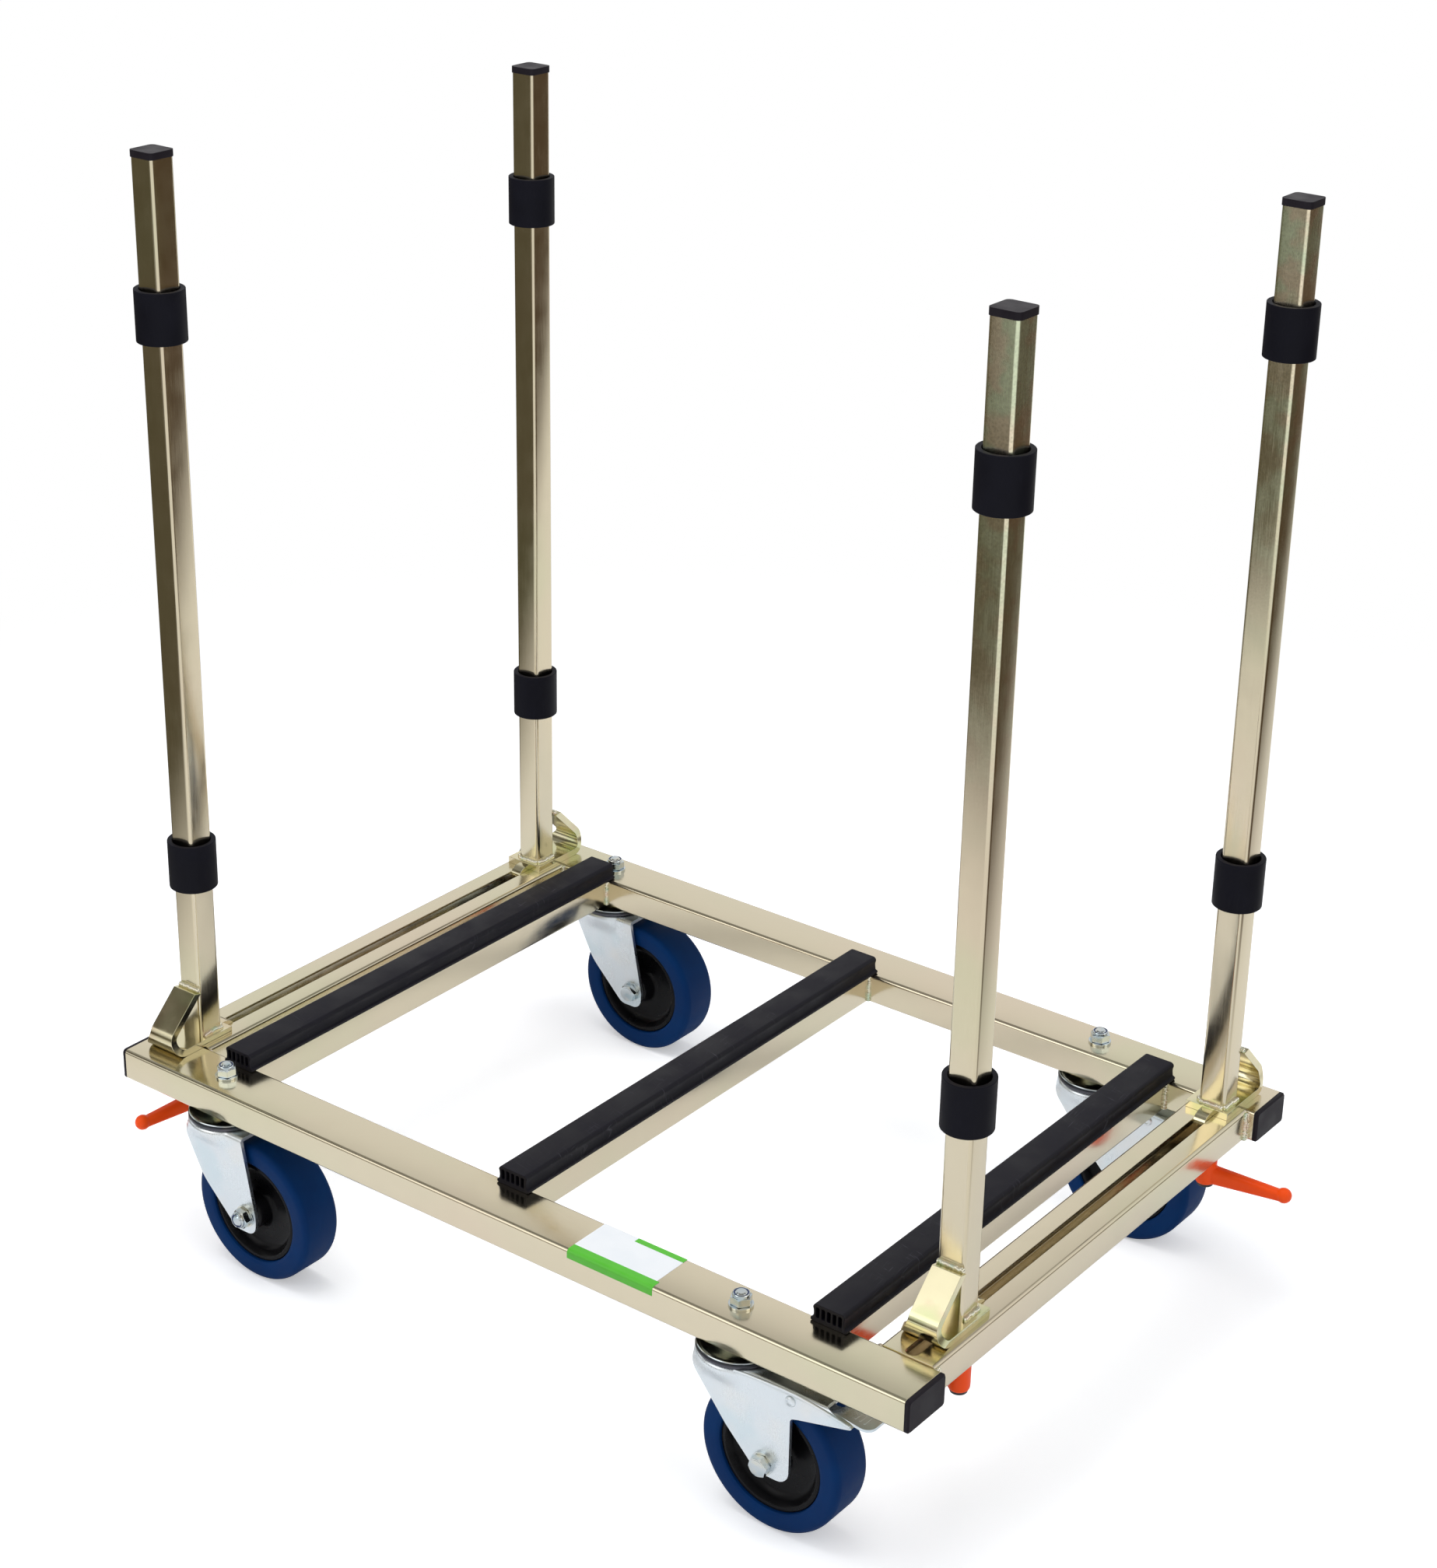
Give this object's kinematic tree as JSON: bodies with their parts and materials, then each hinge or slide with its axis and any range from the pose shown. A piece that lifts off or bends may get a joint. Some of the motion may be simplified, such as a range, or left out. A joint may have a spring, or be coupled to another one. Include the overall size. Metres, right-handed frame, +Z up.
{
  "type": "drywall cart",
  "caption": "Four-wheeled cart for carrying boards on edge: a welded tube frame with rubber deck pads, sliding clamped posts and swivel casters.",
  "frame": {"origin": "on the floor, under the middle of the frame", "axes": "+X along the side tubes, the way the wheels trail; +Y along the slotted rails, from the front tube to the back one; +Z up"},
  "size_m": [1.1242, 0.745, 1.179],
  "materials": {
    "yellow_zinc": "yellow zinc plated",
    "bright_zinc": "bright zinc plated",
    "pad_rubber": "scuffed",
    "sleeve_rubber": "matte",
    "tyre_rubber": "elastic blue rubber",
    "black_plastic": "moulded",
    "lever_plastic": "moulded"
  },
  "bodies": {
    "frame": {"front_side_tube": "yellow_zinc", "back_side_tube": "yellow_zinc", "left_slotted_rail": "yellow_zinc", "right_slotted_rail": "yellow_zinc", "left_cross_tube": "yellow_zinc", "middle_cross_tube": "yellow_zinc", "right_cross_tube": "yellow_zinc", "tube_end_caps": "black_plastic", "left_pad": "pad_rubber", "middle_pad": "pad_rubber", "right_pad": "pad_rubber", "caster_stems": "bright_zinc", "caster_lock_nuts": "bright_zinc", "caster_cups": "bright_zinc"},
    "front_left_post_body": {"front_left_post": "yellow_zinc", "front_left_foot": "yellow_zinc", "front_left_post_cap": "black_plastic"},
    "front_left_clamp_body": {"front_left_clamp_stud": "bright_zinc"},
    "front_left_handle_body": {"front_left_clamp_handle": "lever_plastic"},
    "front_left_swivel_body": {"front_left_caster_fork": "bright_zinc", "front_left_caster_axle": "bright_zinc"},
    "front_left_wheel_body": {"front_left_tyre": "tyre_rubber", "front_left_rim": "black_plastic"},
    "front_left_upper_sleeve_body": {"front_left_upper_sleeve": "sleeve_rubber"},
    "front_left_lower_sleeve_body": {"front_left_lower_sleeve": "sleeve_rubber"},
    "back_left_post_body": {"back_left_post": "yellow_zinc", "back_left_foot": "yellow_zinc", "back_left_post_cap": "black_plastic"},
    "back_left_clamp_body": {"back_left_clamp_stud": "bright_zinc"},
    "back_left_handle_body": {"back_left_clamp_handle": "lever_plastic"},
    "back_left_swivel_body": {"back_left_caster_fork": "bright_zinc", "back_left_caster_axle": "bright_zinc"},
    "back_left_wheel_body": {"back_left_tyre": "tyre_rubber", "back_left_rim": "black_plastic"},
    "back_left_upper_sleeve_body": {"back_left_upper_sleeve": "sleeve_rubber"},
    "back_left_lower_sleeve_body": {"back_left_lower_sleeve": "sleeve_rubber"},
    "front_right_post_body": {"front_right_post": "yellow_zinc", "front_right_foot": "yellow_zinc", "front_right_post_cap": "black_plastic"},
    "front_right_clamp_body": {"front_right_clamp_stud": "bright_zinc"},
    "front_right_handle_body": {"front_right_clamp_handle": "lever_plastic"},
    "front_right_swivel_body": {"front_right_caster_fork": "bright_zinc", "front_right_caster_axle": "bright_zinc"},
    "front_right_wheel_body": {"front_right_tyre": "tyre_rubber", "front_right_rim": "black_plastic"},
    "front_right_upper_sleeve_body": {"front_right_upper_sleeve": "sleeve_rubber"},
    "front_right_lower_sleeve_body": {"front_right_lower_sleeve": "sleeve_rubber"},
    "front_right_brake_body": {"front_right_brake_pedal": "bright_zinc"},
    "back_right_post_body": {"back_right_post": "yellow_zinc", "back_right_foot": "yellow_zinc", "back_right_post_cap": "black_plastic"},
    "back_right_clamp_body": {"back_right_clamp_stud": "bright_zinc"},
    "back_right_handle_body": {"back_right_clamp_handle": "lever_plastic"},
    "back_right_swivel_body": {"back_right_caster_fork": "bright_zinc", "back_right_caster_axle": "bright_zinc"},
    "back_right_wheel_body": {"back_right_tyre": "tyre_rubber", "back_right_rim": "black_plastic"},
    "back_right_upper_sleeve_body": {"back_right_upper_sleeve": "sleeve_rubber"},
    "back_right_lower_sleeve_body": {"back_right_lower_sleeve": "sleeve_rubber"},
    "back_right_brake_body": {"back_right_brake_pedal": "bright_zinc"}
  },
  "joints": [
    {"name": "front_left_post_slide", "type": "slide", "parent": "frame", "child": "front_left_post_body", "axis": [0, 1, 0], "range_m": [-0.0197, 0.232]},
    {"name": "front_left_clamp_turn", "type": "hinge", "parent": "front_left_post_body", "child": "front_left_clamp_body", "pos_m": [-0.4675, -0.265, 0.18], "axis": [0, 0, 1], "range_deg": [-90, 25]},
    {"name": "front_left_handle_lift", "type": "slide", "parent": "front_left_clamp_body", "child": "front_left_handle_body", "axis": [0, 0, -1], "range_m": [0, 0.004], "stiffness_N_per_m": 500, "springref_m": -0.006},
    {"name": "front_left_upper_sleeve_slide", "type": "slide", "parent": "front_left_post_body", "child": "front_left_upper_sleeve_body", "axis": [0, 0, 1], "range_m": [-0.3, 0.06]},
    {"name": "front_left_lower_sleeve_slide", "type": "slide", "parent": "front_left_post_body", "child": "front_left_lower_sleeve_body", "axis": [0, 0, 1], "range_m": [-0.07, 0.12]},
    {"name": "front_left_swivel", "type": "hinge", "parent": "frame", "child": "front_left_swivel_body", "pos_m": [-0.381, -0.325, 0.17], "axis": [0, 0, 1], "range_deg": [-135, 112]},
    {"name": "front_left_wheel_spin", "type": "hinge", "parent": "front_left_swivel_body", "child": "front_left_wheel_body", "pos_m": [-0.327, -0.325, 0.08], "axis": [0, 1, 0], "continuous": true},
    {"name": "back_left_post_slide", "type": "slide", "parent": "frame", "child": "back_left_post_body", "axis": [0, 1, 0], "range_m": [-0.235, 0.0167]},
    {"name": "back_left_clamp_turn", "type": "hinge", "parent": "back_left_post_body", "child": "back_left_clamp_body", "pos_m": [-0.4675, 0.268, 0.18], "axis": [0, 0, 1], "range_deg": [-20, 90]},
    {"name": "back_left_handle_lift", "type": "slide", "parent": "back_left_clamp_body", "child": "back_left_handle_body", "axis": [0, 0, -1], "range_m": [0, 0.004], "stiffness_N_per_m": 500, "springref_m": -0.006},
    {"name": "back_left_upper_sleeve_slide", "type": "slide", "parent": "back_left_post_body", "child": "back_left_upper_sleeve_body", "axis": [0, 0, 1], "range_m": [-0.3, 0.06]},
    {"name": "back_left_lower_sleeve_slide", "type": "slide", "parent": "back_left_post_body", "child": "back_left_lower_sleeve_body", "axis": [0, 0, 1], "range_m": [-0.07, 0.12]},
    {"name": "back_left_swivel", "type": "hinge", "parent": "frame", "child": "back_left_swivel_body", "pos_m": [-0.381, 0.325, 0.17], "axis": [0, 0, 1], "range_deg": [-118, 178]},
    {"name": "back_left_wheel_spin", "type": "hinge", "parent": "back_left_swivel_body", "child": "back_left_wheel_body", "pos_m": [-0.327, 0.325, 0.08], "axis": [0, 1, 0], "continuous": true},
    {"name": "front_right_post_slide", "type": "slide", "parent": "frame", "child": "front_right_post_body", "axis": [0, 1, 0], "range_m": [-0.0787, 0.17]},
    {"name": "front_right_clamp_turn", "type": "hinge", "parent": "front_right_post_body", "child": "front_right_clamp_body", "pos_m": [0.4675, -0.203, 0.18], "axis": [0, 0, 1], "range_deg": [-60, 60]},
    {"name": "front_right_handle_lift", "type": "slide", "parent": "front_right_clamp_body", "child": "front_right_handle_body", "axis": [0, 0, -1], "range_m": [0, 0.004], "stiffness_N_per_m": 500, "springref_m": -0.006},
    {"name": "front_right_upper_sleeve_slide", "type": "slide", "parent": "front_right_post_body", "child": "front_right_upper_sleeve_body", "axis": [0, 0, 1], "range_m": [-0.3, 0.06]},
    {"name": "front_right_lower_sleeve_slide", "type": "slide", "parent": "front_right_post_body", "child": "front_right_lower_sleeve_body", "axis": [0, 0, 1], "range_m": [-0.07, 0.12]},
    {"name": "front_right_swivel", "type": "hinge", "parent": "frame", "child": "front_right_swivel_body", "pos_m": [0.3, -0.325, 0.17], "axis": [0, 0, 1], "continuous": true},
    {"name": "front_right_wheel_spin", "type": "hinge", "parent": "front_right_swivel_body", "child": "front_right_wheel_body", "pos_m": [0.354, -0.325, 0.08], "axis": [0, 1, 0], "continuous": true},
    {"name": "front_right_brake_press", "type": "hinge", "parent": "front_right_swivel_body", "child": "front_right_brake_body", "pos_m": [0.383, -0.325, 0.162], "axis": [0, 1, 0], "range_deg": [0, 9]},
    {"name": "back_right_post_slide", "type": "slide", "parent": "frame", "child": "back_right_post_body", "axis": [0, 1, 0], "range_m": [-0.239, 0.0127]},
    {"name": "back_right_clamp_turn", "type": "hinge", "parent": "back_right_post_body", "child": "back_right_clamp_body", "pos_m": [0.4675, 0.272, 0.18], "axis": [0, 0, 1], "range_deg": [-90, 15]},
    {"name": "back_right_handle_lift", "type": "slide", "parent": "back_right_clamp_body", "child": "back_right_handle_body", "axis": [0, 0, -1], "range_m": [0, 0.004], "stiffness_N_per_m": 500, "springref_m": -0.006},
    {"name": "back_right_upper_sleeve_slide", "type": "slide", "parent": "back_right_post_body", "child": "back_right_upper_sleeve_body", "axis": [0, 0, 1], "range_m": [-0.3, 0.06]},
    {"name": "back_right_lower_sleeve_slide", "type": "slide", "parent": "back_right_post_body", "child": "back_right_lower_sleeve_body", "axis": [0, 0, 1], "range_m": [-0.07, 0.12]},
    {"name": "back_right_swivel", "type": "hinge", "parent": "frame", "child": "back_right_swivel_body", "pos_m": [0.3, 0.325, 0.17], "axis": [0, 0, 1], "continuous": true},
    {"name": "back_right_wheel_spin", "type": "hinge", "parent": "back_right_swivel_body", "child": "back_right_wheel_body", "pos_m": [0.354, 0.325, 0.08], "axis": [0, 1, 0], "continuous": true},
    {"name": "back_right_brake_press", "type": "hinge", "parent": "back_right_swivel_body", "child": "back_right_brake_body", "pos_m": [0.383, 0.325, 0.162], "axis": [0, 1, 0], "range_deg": [0, 9]}
  ]
}
